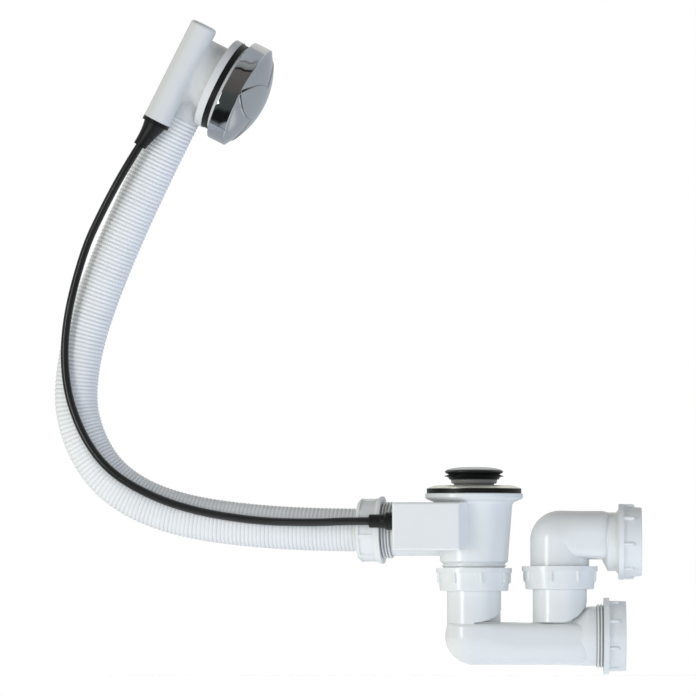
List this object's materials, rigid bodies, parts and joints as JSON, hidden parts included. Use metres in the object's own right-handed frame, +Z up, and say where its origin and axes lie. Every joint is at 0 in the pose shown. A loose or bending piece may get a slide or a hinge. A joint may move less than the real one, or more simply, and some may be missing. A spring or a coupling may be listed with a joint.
{
  "type": "bath waste and overflow",
  "caption": "Bath waste with a cable-worked pop-up plug, flexible overflow hose, chrome turning knob and a tubular trap with clean-out cap and swivelling outlet elbow.",
  "frame": {"origin": "centre of the waste seat, where the strainer's underside meets the gasket's top", "axes": "+Z up along the plug's axis, -X towards the overflow head, -Y towards the front with the gear box"},
  "size_m": [0.4413, 0.0858, 0.4851],
  "materials": {
    "white_plastic": "smooth gloss white",
    "hose_plastic": "satin white, finely ribbed",
    "chrome": "bright plated",
    "dark_chrome": "bright plated, dark reflection",
    "steel": "polished stainless",
    "black_rubber": "matt black",
    "seal_rubber": "matt dark",
    "cable_sheath": "satin black",
    "grey_plastic": "satin grey",
    "gear_plastic": "satin off-white"
  },
  "bodies": {
    "waste": {"overflow_body": "white_plastic", "overflow_gasket": "black_rubber", "overflow_front_plate": "grey_plastic", "overflow_screws": "steel", "upper_boot": "black_rubber", "cable": "cable_sheath", "hose": "hose_plastic", "inlet_nut": "white_plastic", "hose_seal": "seal_rubber", "waste_body": "white_plastic", "mechanism_cover": "white_plastic", "lower_boot": "black_rubber", "shaft_seal": "seal_rubber", "waste_gasket": "black_rubber", "strainer": "steel", "strainer_screw": "steel", "trap_inlet_nut": "white_plastic", "trap_inlet_washer": "seal_rubber"},
    "knob": {"knob": "chrome", "knob_crank": "gear_plastic"},
    "upper_slide": {"cable_slide_upper": "gear_plastic"},
    "lower_slide": {"cable_slide_lower": "gear_plastic"},
    "lifter": {"lift_crank": "gear_plastic", "lift_finger": "gear_plastic"},
    "plug": {"plug_cap": "dark_chrome", "plug_seal": "black_rubber", "plug_carrier": "grey_plastic", "plug_stem": "grey_plastic"},
    "trap": {"trap_body": "white_plastic", "cleanout_cap": "white_plastic", "cleanout_washer": "seal_rubber"},
    "elbow": {"outlet_elbow": "white_plastic", "riser_nut": "white_plastic", "riser_washer": "seal_rubber", "outlet_nut": "white_plastic", "outlet_washer": "seal_rubber"}
  },
  "joints": [
    {"name": "knob_turn", "type": "hinge", "parent": "waste", "child": "knob", "pos_m": [-0.19112, 0, 0.30127], "axis": [0.891, 0, -0.454], "range_deg": [0, 33.17]},
    {"name": "upper_slide_travel", "type": "slide", "parent": "waste", "child": "upper_slide", "axis": [-0.454, 0, -0.891], "range_m": [0, 0.01105]},
    {"name": "lower_slide_travel", "type": "slide", "parent": "waste", "child": "lower_slide", "axis": [1, 0, 0], "range_m": [0, 0.01105]},
    {"name": "lifter_turn", "type": "hinge", "parent": "waste", "child": "lifter", "pos_m": [-0.02, 0, -0.0396], "axis": [0, 1, 0], "range_deg": [0, 27.6]},
    {"name": "plug_drop", "type": "slide", "parent": "waste", "child": "plug", "axis": [0, 0, -1], "range_m": [0, 0.0096]},
    {"name": "trap_swivel", "type": "hinge", "parent": "waste", "child": "trap", "pos_m": [0, 0, -0.069], "axis": [0, 0, 1], "range_deg": [-90, 90]},
    {"name": "elbow_swivel", "type": "hinge", "parent": "trap", "child": "elbow", "pos_m": [0.06262, 0.00992, -0.067], "axis": [0, 0, 1], "range_deg": [-90, 90]}
  ],
  "couplings": [
    {"joint": "upper_slide_travel", "follows": "knob_turn", "m_per_rad": 0.019031},
    {"joint": "lower_slide_travel", "follows": "knob_turn", "m_per_rad": 0.019031},
    {"joint": "lifter_turn", "follows": "knob_turn", "ratio": 0.82822},
    {"joint": "plug_drop", "follows": "knob_turn", "m_per_rad": 0.016406}
  ]
}
